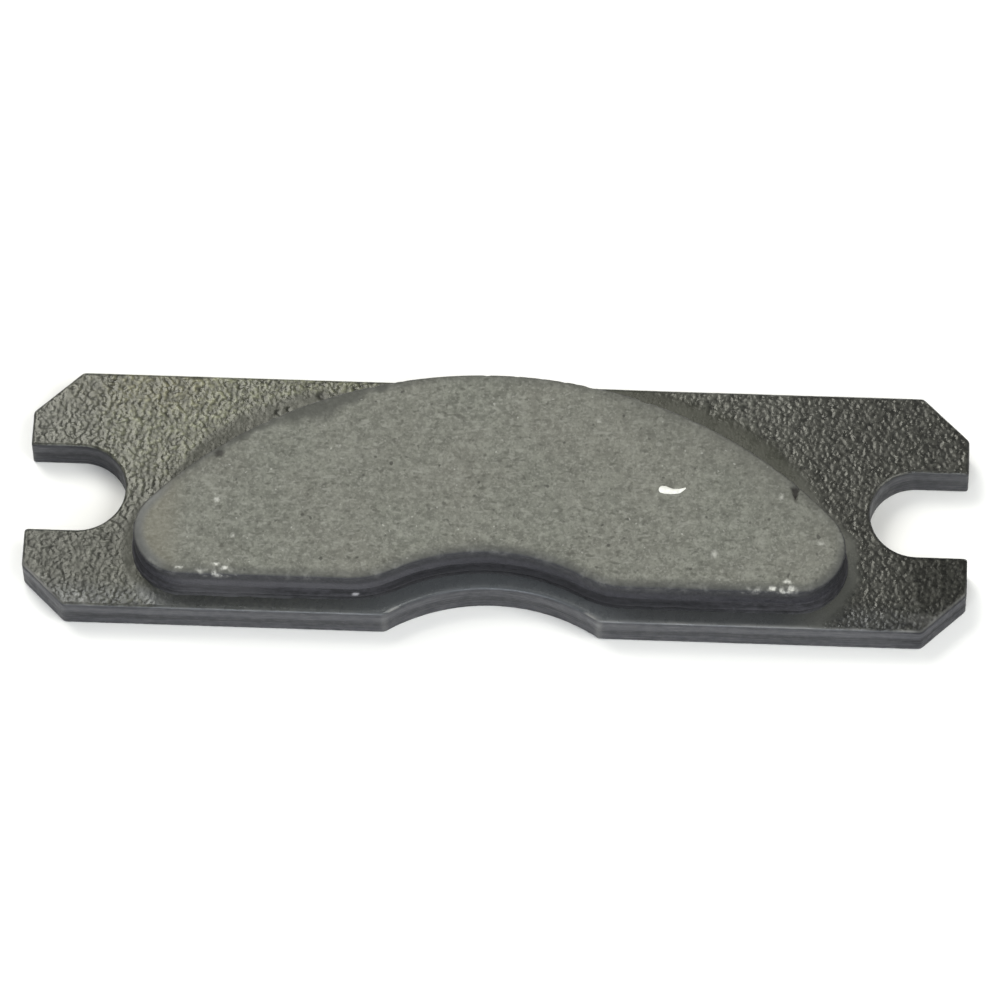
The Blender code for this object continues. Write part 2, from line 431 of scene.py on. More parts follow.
def build_plate(outline, lining_wall):
    """The backing plate: hammered paint above, sheared walls, rolled front rim."""
    plate = plate_body(outline, lining_wall)
    points, normals = vertex_arrays(plate)
    upward = smoothstep(normals[:, 2], 0.15, 0.8)
    downward = smoothstep(-normals[:, 2], 0.15, 0.8)
    wall = 1.0 - upward - downward
    hammered = hammered_share(points, lining_wall)
    painted = upward * hammered + 0.5 * downward

    blobs = noise_at(points, PEBBLE_SIZE, 2.0) + 0.25 * noise_at(points, 0.5 * PEBBLE_SIZE, 4.0)
    blobs += 0.30 * noise_at(points, 2.0 * PEBBLE_SIZE, 21.0)
    uneven = noise_at(points, 2.2 * MM, 7.0)
    pebbles = PEBBLE_HEIGHT * (blobs * (1.0 + 0.4 * uneven) - 0.9)
    rolling = 0.03 * MM * (noise_at(points, 5.0 * MM, 1.0) - 1.0)
    pits = upward * near_spots(points, PAINT_PITS, 0.4)
    offset = upward * (hammered * pebbles + rolling) - PIT_DEPTH * pits
    offset += downward * BACK_SHARE * pebbles + wall * sheared_relief(points)
    set_points(plate, points + normals * offset[:, None], PLATE_LOW, PLATE_HIGH)

    crest = smoothstep(blobs, 0.10, 0.60) * painted
    # Worn-off paint together with painted highlights on the rims, the arch's uprights and the front corners'
    # crests
    rubbed_and_highlit = np.maximum(rubbed_and_highlit_edges(points, normals, wall), handled_and_highlit_ends(points, upward, crest, uneven))
    set_mask(plate, "hammered", painted)
    # crevice_shade: painted shade in the hollows between the pebbles and in the pits
    set_mask(plate, "crevice_shade", np.maximum(smoothstep(-blobs, 0.0, 0.5) * painted, pits))
    set_mask(plate, "crest", crest)
    set_mask(plate, "wall", wall)
    set_mask(plate, "rubbed_and_highlit", rubbed_and_highlit)
    return plate


def plate_body(outline, lining_wall):
    """The plate without relief, meshed finely where its paint shows and coarsely under the lining."""
    profile = upright_wall(PLATE_LOW.z + BACK_RIM, PLATE_HIGH.z - FRONT_RIM)
    fine = filling_points(outline, PLATE_STEP, FRONT_RIM + 0.5 * PLATE_STEP, seed=11)
    hidden = depth_inside(fine, lining_wall) > FINE_UNDER_LINING
    coarse = filling_points(lining_wall, HIDDEN_STEP, COARSE_UNDER_LINING, seed=12)
    top = np.vstack([rim_points(outline, FRONT_RIM), fine[~hidden], coarse])
    back = filling_points(outline, PLATE_BACK_STEP, BACK_RIM + 0.5 * PLATE_BACK_STEP, seed=13)
    bottom = np.vstack([rim_points(outline, BACK_RIM), back])
    return layered_body("painted_plate", outline, profile, (BACK_RIM, bottom), (FRONT_RIM, top))


def hammered_share(points, lining_wall):
    """0 in the smooth band around the lining and 1 in the hammered paint beyond it."""
    from_lining = -depth_inside(points[:, :2], lining_wall)
    band, fade = smooth_band(points)
    ragged = from_lining + 0.7 * MM * noise_at(points, 2.5 * MM, 3.0) - band
    faint = FAINT_SHARE * smoothstep(-points[:, 0], 26.0 * MM, 38.0 * MM)  # shows in the band at the left end
    return np.maximum(smoothstep(ragged / fade, 0.0, 1.0), faint)


def smooth_band(points):
    """The smooth band's width, and the distance over which it fades. Both are least at the lining's tips."""
    x, y = points[:, 0], points[:, 1]
    in_front = smoothstep(-y, 6.0 * MM, 14.0 * MM) * (1.0 - smoothstep(np.abs(x), 48.0 * MM, 58.0 * MM))
    behind = smoothstep(y, -2.0 * MM, 6.0 * MM) * (1.0 - smoothstep(np.abs(x), 42.0 * MM, 58.0 * MM))
    behind *= 1.0 - 0.9 * bump_along(x, BAND_GAP)
    width = BAND_AT_TIPS + (BAND_IN_FRONT - BAND_AT_TIPS) * in_front
    width += (BAND_BEHIND - BAND_AT_TIPS) * behind
    fade = FADE_AT_TIPS + (FADE_ELSEWHERE - FADE_AT_TIPS) * np.maximum(in_front, behind)
    return width, fade


def sheared_relief(points):
    """Scores along the sheared walls, and the torn skin between them."""
    scored = SCORE_DEPTH * (noise_at(points, (9.0 * MM, 9.0 * MM, 0.5 * MM), 5.0) - 0.8)
    torn = TEAR_DEPTH * (noise_at(points, (1.6 * MM, 1.6 * MM, 1.1 * MM), 9.0) - 0.8)
    return scored + torn


def rubbed_and_highlit_edges(points, normals, wall):
    """Where the paint is worn off, with a painted highlight along the same rims: the front rim, most of all
    at the hub arch, and the arch's uprights, which get a painted highlight only.
    """
    x, y = points[:, 0], points[:, 1]
    rim = smoothstep(normals[:, 2], 0.35, 0.6) * (1.0 - smoothstep(normals[:, 2], 0.90, 0.98))
    front_run = smoothstep(-y, 20.0 * MM, 20.6 * MM) * (1.0 - smoothstep(np.abs(x), 55 * MM, 64 * MM))
    front_run *= 0.35 + 0.55 * smoothstep(x, -15 * MM, 15 * MM)
    chamfers = smoothstep(np.abs(x), 60 * MM, 68 * MM) * smoothstep(-y, 12 * MM, 15 * MM)
    patchy = 0.35 + 0.65 * smoothstep(noise_at(points, 3.5 * MM, 23.0), -0.3, 0.3)
    along_rim = np.maximum(front_run, 1.3 * chamfers) * patchy
    at_arch = 1.65 * near_spots(points, RUBBED_AND_HIGHLIT_CORNERS, 0.4)
    uprights = 0.7 * wall * patchy * near_spots(points, HIGHLIT_UPRIGHTS, 0.3)
    return np.maximum(rim * np.maximum(along_rim, at_arch), uprights)


def handled_and_highlit_ends(points, upward, crest, uneven):
    """Where handling has polished the pebbles at the plate's front corners, with a painted highlight on their
    crests, and two scuffs there.
    """
    x, y = points[:, 0], points[:, 1]
    corners = smoothstep(np.abs(x), 59 * MM, 67 * MM) * smoothstep(-y, 13 * MM, 18 * MM)
    polished_and_highlit = 0.9 * corners * crest * smoothstep(uneven, -0.3, 0.3)
    scuffs = upward * spread_spots(points, SCUFFS) * (0.25 + 0.75 * crest)
    return np.maximum(polished_and_highlit, scuffs)


# ---------------------------------------------------------------- lining, layers and paint dab

def moulded_relief(points):
    """The uneven skin that the mould leaves on the walls of the lining and the layer under it."""
    broad = noise_at(points, (2.8 * MM, 2.8 * MM, 1.7 * MM), 8.0)
    narrow = noise_at(points, 0.95 * MM, 13.0)
    return MOULDED_WAVES * (broad - 1.0) + MOULDED_GRAIN * narrow


def build_lining(outline):
    """The friction lining: ground face, eased edge with small chips, moulded walls."""
    high = LINING_HIGH.z - FACE_DROP
    lining = lining_body(outline, high)
    points, normals = vertex_arrays(lining)
    depth = depth_inside(points[:, :2], outline)
    ground = smoothstep(normals[:, 2], 0.60, 0.97)
    wall = 1.0 - smoothstep(normals[:, 2], 0.1, 0.7)

    grain = noise_at(points, 0.9 * MM, 2.0) + 0.7 * noise_at(points, 2.2 * MM, 4.0)
    pores = smoothstep(noise_at(points, 1.1 * MM, 6.0), 0.45, 0.65)
    offset = ground * (GRAIN_HEIGHT * grain - PORE_DEPTH * pores) + wall * moulded_relief(points)
    on_edge = 1.0 - smoothstep(depth, 0.5 * MM, 1.3 * MM)
    on_edge *= smoothstep(points[:, 2], high - 1.5 * MM, high - 0.1 * MM)
    chips = spread_spots(points, EDGE_CHIPS) * smoothstep(noise_at(points, 0.9 * MM, 12.0), -0.25, 0.35)
    uneven = noise_at(points, 1.5 * MM, 15.0) + 0.4 * noise_at(points, 4.5 * MM, 18.0)
    worn = 0.5 * smoothstep(uneven, 0.0, 0.6)
    flakes = ground * spread_spots(points, FACE_CHIPS)
    pits = ground * near_spots(points, FACE_PITS, 0.5)
    offset -= CHIP_DEPTH * on_edge * (worn + chips) + FLAKE_DEPTH * flakes + FACE_PIT_DEPTH * pits
    at_tip = 1.0 - smoothstep(points[:, 0], -54.5 * MM, -50.0 * MM)
    bevel = at_tip * (1.0 - smoothstep(depth, 0.35 * BEVEL_WIDTH, BEVEL_WIDTH))

    points = points + level_at_foot(normals) * offset[:, None]
    notch = notch_depth(points[:, :2])
    top_part = smoothstep(points[:, 2], high - 1.2 * MM, high - 0.4 * MM)
    points[:, 2] -= (BEVEL_DROP * bevel + NOTCH_DEPTH * notch) * top_part
    set_points(lining, points, LINING_LOW, LINING_HIGH)

    set_mask(lining, "ground", ground)
    set_mask(lining, "chipped", np.maximum(on_edge * np.maximum(chips, 0.2 * worn), flakes))
    set_mask(lining, "notch", np.maximum(notch, 0.8 * pits))
    set_mask(lining, "bevel", bevel * ground)
    set_mask(lining, "outer_dark", outer_dark_band(points, depth) * ground)
    set_mask(lining, "eased", eased_edge_shade(points, depth))
    return lining


def lining_body(outline, high):
    """The lining without relief, up to the height of its ground face."""
    profile = upright_wall(LINING_LOW.z, high - LINING_ROUND)
    face = filling_points(outline, LINING_STEP, LINING_ROUND + 0.5 * LINING_STEP, seed=21)
    top = np.vstack([rim_points(outline, LINING_ROUND), face])
    bottom = filling_points(outline, HIDDEN_STEP, HIDDEN_STEP, seed=22)
    return layered_body("friction_composite", outline, profile, (0.0, bottom), (LINING_ROUND, top))


def level_at_foot(normals):
    """The directions that relief moves the lining's points in: the normals, but sideways only at its foot."""
    sideways = normals * np.array([1.0, 1.0, 0.0])
    sideways /= np.maximum(np.linalg.norm(sideways, axis=1, keepdims=True), 0.3)
    at_foot = smoothstep(-normals[:, 2], 0.0, 0.2)[:, None]
    return normals + (sideways - normals) * at_foot


def eased_edge_shade(points, depth):
    """1 along the lining's eased edge, painted darker there as a shade, and 0 away from it. Strongest in
    front and at the right.
    """
    frontal = 0.35 + 0.65 * smoothstep(-points[:, 1], 7.0 * MM, 12.0 * MM)
    frontal *= 0.75 + 0.25 * smoothstep(points[:, 0], -20.0 * MM, 10.0 * MM)
    return frontal * (1.0 - smoothstep(depth, 0.4 * MM, 2.3 * MM))


def outer_dark_band(points, depth):
    """1 in the dark rough band along the left half of the lining's outer edge, and 0 away from it."""
    x, y = points[:, 0], points[:, 1]
    width = DARK_BAND_WIDTH + DARK_BAND_BULGE * bump_along(x, DARK_BAND_PLACE)
    ragged = depth + 0.8 * MM * noise_at(points, 2.0 * MM, 27.0)
    left_half = (1.0 - smoothstep(x, -20.0 * MM, -10.0 * MM)) * smoothstep(x, -56.0 * MM, -50.0 * MM)
    band = 1.0 - smoothstep(ragged, 0.5 * width, 1.3 * width)
    band *= smoothstep(y, -3.0 * MM, 0.0) * (0.25 + 0.75 * left_half)
    band *= 1.0 - smoothstep(x, 18.0 * MM, 24.0 * MM)
    # A wider, softer dark band along the outer edge's right half
    soft_dark = (1.0 - smoothstep(depth, 2.0 * MM, 9.0 * MM)) * smoothstep(x, 8.0 * MM, 26.0 * MM)
    return np.maximum(band, SOFT_DARK_SHARE * soft_dark * smoothstep(y, -14.0 * MM, -4.0 * MM))


def notch_depth(points):
    """1 inside the small V-shaped nick beside the lining's outer edge, and 0 away from it."""
    head, tip = np.array(NOTCH_HEAD) * MM, np.array(NOTCH_TIP) * MM
    along = tip - head
    length = np.linalg.norm(along)
    along = along / length
    across = np.array([-along[1], along[0]])
    share = ((points - head) @ along) / length
    width = NOTCH_HALF_WIDTH * MM * np.clip(1.0 - share, 0.0, 1.0)
    from_middle = np.abs((points - head) @ across)
    inside = 1.0 - smoothstep(from_middle / np.maximum(width, 0.05 * MM), 0.55, 1.15)
    return inside * smoothstep(share, -0.12, 0.02) * (1.0 - smoothstep(share, 0.75, 1.0))


def build_underlayer(outline):
    """The layer below the lining. It closes the joint above it, and its foot spreads in a concave skirt."""
    low, high = UNDER_LOW.z - UNDER_SUNK, LINING_LOW.z + UNDER_LAP
    widest = (UNDER_HIGH.x - UNDER_LOW.x - (LINING_HIGH.x - LINING_LOW.x)) / 2
    profile = []
    for i in range(SKIRT_ROWS + 1):
        angle = math.pi / 2 * i / SKIRT_ROWS
        flare = widest * (1.0 - math.sin(angle))
        profile.append((low + 0.6 * (high - low) * (1.0 - math.cos(angle)), -flare))
    profile.append((low + 0.8 * (high - low), 0.0))
    profile.append((high, 0.02 * MM))
    profile.append((high + 0.2 * MM, 0.3 * MM))  # tucked in behind the lining's wall
    inner = filling_points(outline, HIDDEN_STEP, HIDDEN_STEP, seed=31)
    under = layered_body("moulded_underlayer", outline, profile, (0.0, inner), (0.0, inner))
    points, normals = vertex_arrays(under)
    visible = 1.0 - smoothstep(points[:, 2], high, high + 0.1 * MM)
    points += normals * (visible * moulded_relief(points))[:, None]
    set_points(under, points, (-1, -1, low), (1, 1, LINING_HIGH.z))
    apart = np.linalg.norm((points - np.array(FLAKE_PLACE)) / np.array(FLAKE_REACH), axis=1)
    set_mask(under, "flaked", 1.0 - smoothstep(apart, 0.4, 1.0))
    return under


def build_bond(outline):
    """The squeezed-out rim of the adhesive film, feathering on to the plate with a ragged edge."""
    low, high = PLATE_HIGH.z - BOND_SUNK, UNDER_LOW.z + BOND_LAP
    spread = (BOND_HIGH.x - BOND_LOW.x - (LINING_HIGH.x - LINING_LOW.x)) / 2
    profile = []
    for i in range(SKIRT_ROWS + 1):
        share = i / SKIRT_ROWS
        profile.append((low + (high - low) * share**1.7, -spread * (1.0 - share)))
    inner = filling_points(outline, HIDDEN_STEP, HIDDEN_STEP, seed=41)
    bond = layered_body("adhesive_rim", outline, profile, (0.0, inner), (0.0, inner))
    points, normals = vertex_arrays(bond)
    outer = smoothstep(-depth_inside(points[:, :2], outline), 0.1 * MM, 0.8 * MM)
    uneven = noise_at(points, 2.2 * MM, 1.0) + 0.5 * noise_at(points, 0.8 * MM, 3.0) - 0.4
    sideways = normals * np.array([1.0, 1.0, 0.0])
    points += sideways * (outer * BOND_RAGGED * uneven)[:, None]
    set_points(bond, points, (BOND_LOW.x, BOND_LOW.y, 0), (BOND_HIGH.x, BOND_HIGH.y, LINING_HIGH.z))
    return bond


def build_paint_dab(face_height):
    """A small comma of dried white paint on the ground face."""
    spine = np.array(DAB_SPINE) * MM
    radii = np.array(DAB_RADII) * MM
    share = np.linspace(0.0, 1.0, len(spine))
    wanted = np.linspace(0.0, 1.0, DAB_STEPS)
    line = np.column_stack([np.interp(wanted, share, spine[:, axis]) for axis in (0, 1)])
    for _ in range(3):
        line[1:-1] = 0.5 * line[1:-1] + 0.25 * (line[2:] + line[:-2])
    width = np.interp(wanted, share, radii)
    width *= np.sqrt(1.0 - np.clip(1.0 - wanted / DAB_BLUNT, 0.0, 0.95) ** 2)
    tangent = np.gradient(line, axis=0)
    tangent /= np.linalg.norm(tangent, axis=1, keepdims=True)
    across = np.column_stack([-tangent[:, 1], tangent[:, 0]])
    thickness = CAD_HIGH.z - face_height + DAB_SUNK
    rings = []
    for i in range(DAB_STEPS):
        for j in range(DAB_SIDES):
            angle = 2 * math.pi * j / DAB_SIDES
            x, y = line[i] + across[i] * width[i] * math.cos(angle)
            crown = math.sqrt(width[i] / width.max()) * max(0.0, math.sin(angle))
            rings.append((x, y, face_height - DAB_SUNK + thickness * crown))
    faces = []
    for i in range(DAB_STEPS - 1):
        for j in range(DAB_SIDES):
            k = (j + 1) % DAB_SIDES
            low, high = i * DAB_SIDES, (i + 1) * DAB_SIDES
            faces.append((low + j, high + j, high + k, low + k))
    faces.append(tuple(range(DAB_SIDES)))
    faces.append(tuple(reversed(range(len(rings) - DAB_SIDES, len(rings)))))
    return mesh_object("paint_dab", np.array(rings), faces)


# ---------------------------------------------------------------- materials

class Shader:
    """One material's node tree, with a short call for each kind of node that the pad needs."""

    def __init__(self, name):
        self.material = bpy.data.materials.new(name)
        self.material.use_nodes = True
        self.tree = self.material.node_tree
        self.surface = self.tree.nodes["Principled BSDF"]
        self.place = self.tree.nodes.new("ShaderNodeTexCoord").outputs["Object"]

    def set(self, node_input, value):
        """Links a socket, or stores a plain value."""
        if isinstance(value, bpy.types.NodeSocket):
            self.tree.links.new(value, node_input)
        elif isinstance(value, tuple) and node_input.type == "RGBA":
            node_input.default_value = (*value, 1.0)
        else:
            node_input.default_value = value

    def mask(self, name):
        """A number stored on the mesh."""
        node = self.tree.nodes.new("ShaderNodeAttribute")
        node.attribute_name = name
        return node.outputs["Fac"]

    def noise(self, size, detail=2.0, offset=0.0):
        """Noise from 0 to 1 with features of one size, or of one size for each axis, in millimetres."""
        sizes = size if isinstance(size, tuple) else (size, size, size)
        stretch = self.tree.nodes.new("ShaderNodeMapping")
        self.tree.links.new(self.place, stretch.inputs["Vector"])
        stretch.inputs["Scale"].default_value = [1.0 / (axis * MM) for axis in sizes]
        node = self.tree.nodes.new("ShaderNodeTexNoise")
        node.noise_dimensions = "4D"
        self.tree.links.new(stretch.outputs["Vector"], node.inputs["Vector"])
        node.inputs["W"].default_value = offset
        node.inputs["Scale"].default_value = 1.0
        node.inputs["Detail"].default_value = detail
        return node.outputs["Fac"]

    def between(self, value, low, high, new_low=0.0, new_high=1.0):
        """Maps a value's range to another range, smoothly and held at its ends."""
        node = self.tree.nodes.new("ShaderNodeMapRange")
        node.interpolation_type = "SMOOTHSTEP"
        self.set(node.inputs["Value"], value)
        self.set(node.inputs["From Min"], low)
        self.set(node.inputs["From Max"], high)
        self.set(node.inputs["To Min"], new_low)
        self.set(node.inputs["To Max"], new_high)
        return node.outputs["Result"]

    def along(self, axis, low, high, new_low=0.0, new_high=1.0):
        """Maps the range between two places along an axis, in millimetres, to another range."""
        return self.between(self.coordinate(axis), low * MM, high * MM, new_low, new_high)

    def math(self, operation, first, second=0.0):
        """One arithmetic step."""
        node = self.tree.nodes.new("ShaderNodeMath")
        node.operation = operation
        self.set(node.inputs[0], first)
        self.set(node.inputs[1], second)
        return node.outputs[0]

    def product(self, first, *others):
        """Several numbers multiplied."""
        for other in others:
            first = self.math("MULTIPLY", first, other)
        return first

    def mix(self, share, first, second):
        """A colour between two colours."""
        node = self.tree.nodes.new("ShaderNodeMix")
        node.data_type = "RGBA"
        self.set(node.inputs["Factor"], share)
        self.set(node.inputs[6], first)
        self.set(node.inputs[7], second)
        return node.outputs[2]

    def coordinate(self, axis):
        """One object coordinate, in metres."""
        node = self.tree.nodes.new("ShaderNodeSeparateXYZ")
        self.tree.links.new(self.place, node.inputs[0])
        return node.outputs[axis]

    def finish(self, colour, roughness, bump=None, bump_height=0.0, specular=0.5):
        """Connects the surface's inputs and returns the material. The bump's height is in millimetres."""
        self.set(self.surface.inputs["Base Color"], colour)
        self.set(self.surface.inputs["Roughness"], roughness)
        self.set(self.surface.inputs["Specular IOR Level"], specular)
        if bump is not None:
            node = self.tree.nodes.new("ShaderNodeBump")
            node.inputs["Distance"].default_value = bump_height * MM
            self.set(node.inputs["Height"], bump)
            self.tree.links.new(node.outputs["Normal"], self.surface.inputs["Normal"])
        return self.material


def plate_paint():
    """Black gloss paint over hammered steel, olive with dust and a painted sheen at one end, streaked on the
    sheared walls.
    """
    s = Shader("plate_paint")
    hammered, crest, wall = s.mask("hammered"), s.mask("crest"), s.mask("wall")
    in_band = s.between(hammered, FAINT_SHARE, 0.95, 1.0, 0.0)
    in_front = s.along("Y", -15.5, -19.5)
    off_centre = s.math("ABSOLUTE", s.coordinate("X"))
    in_arch = s.product(s.between(off_centre, 26 * MM, 16 * MM), s.along("Y", -8, -11))
    streaks = s.noise((6.0, 6.0, 0.35), 3.0, 5.0)

    fine = s.between(s.noise(0.8, 2.0, 2.0), 0.35, 0.7)
    pebbled = s.mix(fine, (0.010, 0.010, 0.009), (0.032, 0.032, 0.028))
    # Smooth band: lighter and cooler in front of the lining, near its right tip and in the hub arch, painted
    # light where the lining's shadow falls
    smooth = s.mix(in_front, (0.030, 0.031, 0.024), (0.044, 0.046, 0.048))
    smooth = s.mix(s.along("X", 44, 54), smooth, (0.066, 0.067, 0.060))
    smooth = s.mix(in_arch, smooth, (0.054, 0.058, 0.063))
    paint = dust_and_sheen(s, s.mix(hammered, smooth, pebbled), crest, in_band, in_front)
    # Painted shade: near-black in the hollows between the pebbles and in the pits, a little weaker at the
    # left end
    crevice_shade_strength = s.along("X", -20, -50, 0.75, 0.55)
    paint = s.mix(s.between(s.mask("crevice_shade"), 0.1, 0.9, 0.0, crevice_shade_strength), paint, (0.006, 0.006, 0.006))
    paint = s.mix(wall, paint, sheared_steel(s, streaks, off_centre))
    # Paler where the paint is worn off, together with painted highlights along the rims and the arch's
    # uprights
    paint = s.mix(s.product(s.mask("rubbed_and_highlit"), 0.6), paint, (0.160, 0.158, 0.152))

    gloss = s.between(s.noise(1.3, 2.0, 7.0), 0.3, 0.7, 0.22, 0.38)
    roughness = s.math("ADD", gloss, s.product(wall, 0.15))
    rough_skin = s.product(s.noise(0.5, 1.0, 9.0), s.between(hammered, 0.0, 1.0, 0.25, 1.0))
    skin = s.math("ADD", rough_skin, s.product(streaks, wall))
    cool = s.math("MAXIMUM", wall, s.math("MAXIMUM", in_front, in_arch))
    s.set(s.surface.inputs["Specular Tint"], s.mix(cool, (1.0, 1.0, 0.93), (0.94, 0.97, 1.0)))
    return s.finish(paint, roughness, skin, 0.09, paint_shine(s, in_band, in_front))


def dust_and_sheen(s, paint, crest, in_band, in_front):
    """Dust over the paint, partly a painted sheen: olive at the left, a thin grey veil elsewhere, and little
    on smooth paint.
    """
    # Lighter and olive towards the left and the back: real dust together with a painted sheen where the light
    # falls
    to_left = s.product(s.along("X", 40, -42), s.along("X", -76, -50, 0.10, 1.0))
    to_back = s.along("Y", -8, 14, 0.20, 1.0)
    dust_and_sheen_share = s.product(to_left, to_back, s.between(s.noise(9.0, 3.0), 0.25, 0.65, 0.6, 1.0))
    caught = s.math("ADD", 0.10, s.product(in_front, 0.45))
    dust_and_sheen_share = s.product(dust_and_sheen_share, s.between(in_band, 0.0, 1.0, 1.0, caught))
    flecks = s.between(s.noise((0.8, 0.7, 1.0), 1.0, 6.0), 0.40, 0.66)
    # Pebble crests lighter: settled dust together with a painted highlight
    settled_and_crest_sheen = s.math("ADD", s.product(flecks, 0.35), s.product(crest, 0.75))
    ochre = s.product(s.along("X", -42, -52), s.along("Y", 12, 18), 0.5)
    dust_and_sheen_colour = s.mix(ochre, (0.132, 0.136, 0.090), (0.160, 0.145, 0.078))
    paint = s.mix(s.product(dust_and_sheen_share, s.math("ADD", 0.26, settled_and_crest_sheen)), paint, dust_and_sheen_colour)
    # A thin grey veil everywhere but the right end, its crests lighter as a painted highlight
    haze_and_sheen = s.product(s.along("X", 56, 40, 0.0, 0.38), s.between(dust_and_sheen_share, 0.0, 0.5, 1.0, 0.0))
    haze_and_sheen = s.product(haze_and_sheen, s.between(in_band, 0.0, 1.0, 1.0, 0.1), s.math("ADD", 0.30, settled_and_crest_sheen))
    return s.mix(haze_and_sheen, paint, (0.120, 0.122, 0.108))


def sheared_steel(s, streaks, off_centre):
    """The plate's walls: streaked, burnished in a band high up, torn in a darker one, darker in the slots."""
    sheared = s.mix(s.between(streaks, 0.3, 0.7), (0.013, 0.013, 0.016), (0.038, 0.038, 0.044))
    patches = s.between(s.noise((2.2, 2.2, 1.2), 3.0, 8.0), 0.45, 0.75, 0.0, 0.6)
    sheared = s.mix(patches, sheared, (0.060, 0.059, 0.064))
    wander = s.product(s.noise((5.0, 5.0, 3.0), 2.0, 14.0), 1.2 * MM)
    level = s.math("ADD", s.coordinate("Z"), wander)
    burnished = s.product(s.between(level, 3.8 * MM, 4.6 * MM), s.between(level, 5.8 * MM, 5.2 * MM))
    burnished = s.product(burnished, s.between(off_centre, 2 * MM, 14 * MM, 0.10, 0.45))
    sheared = s.mix(burnished, sheared, (0.070, 0.070, 0.076))
    torn = s.product(s.between(level, 2.4 * MM, 3.1 * MM), s.between(level, 4.3 * MM, 3.7 * MM), 0.65)
    sheared = s.mix(torn, sheared, (0.008, 0.008, 0.010))
    return s.mix(s.along("Y", -16, -12, 0.0, 0.3), sheared, (0.010, 0.010, 0.012))


def paint_shine(s, in_band, in_front):
    """How much the paint reflects: less at the right end, on smooth paint and at the left end's front."""
    shaded = s.product(s.along("X", 60, 69), s.along("Y", 10, -8))
    matt = s.product(in_band, s.along("X", -32, -52, 0.25, 1.0), s.between(in_front, 0.0, 1.0, 1.0, 0.25))
    front_left = s.product(s.along("X", -50, -60), s.along("Y", -3, -9))
    matt = s.math("MAXIMUM", matt, s.product(front_left, 0.6))
    shine = s.math("SUBTRACT", 0.5, s.product(shaded, 0.32))
    return s.math("SUBTRACT", shine, s.product(matt, 0.26))


def lining_composite():
    """Ground friction composite with a bevel, a dark outer edge, an eased edge darkened as painted shade,
    chips and a nick, and dark walls.
    """
    s = Shader("friction_composite")
    ground = s.mask("ground")
    pore = s.between(s.noise(1.1, 0.5, 41.0), 0.71, 0.80, 0.0, 0.8)
    rough_edge = s.mix(s.noise(0.9, 2.0, 61.0), (0.030, 0.031, 0.027), (0.078, 0.079, 0.071))
    face = ground_matrix(s)
    # Pores: painted shade in the small pits of the bump
    face = s.mix(pore, face, (0.040, 0.040, 0.035))
    face = s.mix(s.along("X", -48, -53, 0.0, 0.45), face, (0.142, 0.132, 0.104))
    face = s.mix(s.product(s.mask("bevel"), 0.8), face, (0.124, 0.127, 0.127))
    # Painted shade along the eased edge
    face = s.mix(s.product(s.mask("eased"), 0.8), face, (0.040, 0.041, 0.040))
    face = s.mix(s.product(s.mask("outer_dark"), 0.85), face, rough_edge)
    colour = s.mix(ground, wall_paint_and_shade(s), face)
    bare = s.between(s.noise(0.5, 1.0, 8.0), 0.30, 0.60, 0.25, 1.0)
    colour = s.mix(s.product(s.mask("chipped"), bare), colour, (0.460, 0.460, 0.430))
    # Nick and pit near-black: painted shade in these hollows
    colour = s.mix(s.mask("notch"), colour, (0.022, 0.021, 0.019))
    dull = s.between(s.noise(0.8, 2.0, 51.0), 0.3, 0.7, 0.35, 0.6)
    roughness = s.math("ADD", s.product(ground, 0.35), dull)
    skin = s.math("SUBTRACT", s.noise(0.45, 3.0, 6.0), pore)
    return s.finish(colour, roughness, skin, 0.04, 0.3)


def ground_matrix(s):
    """The ground face's grey-olive matrix with all of its tones."""
    grain = s.between(s.noise(1.0, 3.0), 0.3, 0.7)
    matrix = s.mix(grain, (0.094, 0.096, 0.083), (0.148, 0.152, 0.131))
    for size, detail, offset, starts, full, share, colour in GROUND_TONES:
        tone = s.between(s.noise(size, detail, offset), starts, full, 0.0, share)
        matrix = s.mix(tone, matrix, colour)
    return matrix


def wall_paint_and_shade(s):
    """The lining's walls: dark, paler low down at the left, darkest at the right, and darker near the edge as
    a painted shade.
    """
    wall_tone = s.mix(s.noise(1.2, 3.0, 4.0), (0.014, 0.014, 0.017), (0.047, 0.046, 0.055))
    top = LINING_HIGH.z / MM
    paler_low_left = s.product(s.along("X", 10, -30), s.along("X", -53, -46), s.along("Z", top - 0.8, top - 2.6), 0.7)
    wall_tone = s.mix(paler_low_left, wall_tone, (0.066, 0.065, 0.072))
    wall_tone = s.mix(s.along("X", 20, 50, 0.0, 0.5), wall_tone, (0.006, 0.006, 0.010))
    # Darker near the top edge: painted shade
    return s.mix(s.along("Z", top - 2.7, top - 1.6, 0.0, 0.5), wall_tone, (0.008, 0.009, 0.010))


def dark_layer(name, dark, light, roughness):
    """A dark moulded layer with a fine uneven skin, paler at the front left, and darkest in the middle, a
    painted shade at the lining's foot.
    """
    s = Shader(name)
    skin = s.noise(0.9, 4.0)
    streaks = s.noise((4.0, 4.0, 0.4), 2.0, 3.0)
    colour = s.mix(s.between(s.math("ADD", skin, streaks), 0.7, 1.3), dark, light)
    at_left = s.product(s.along("X", -32, -40), s.along("X", -53, -46), 0.5)
    colour = s.mix(at_left, colour, (0.060, 0.059, 0.063))
    # Painted shade at the lining's foot in the middle
    foot_shade = s.product(s.along("X", -22, -12), s.along("X", 42, 30), 0.55)
    colour = s.mix(foot_shade, colour, (0.005, 0.005, 0.007))
    colour = s.mix(s.mask("flaked"), colour, (0.300, 0.295, 0.310))
    dull = s.between(skin, 0.3, 0.7, roughness, roughness + 0.15)
    return s.finish(colour, dull, skin, 0.05, 0.3)


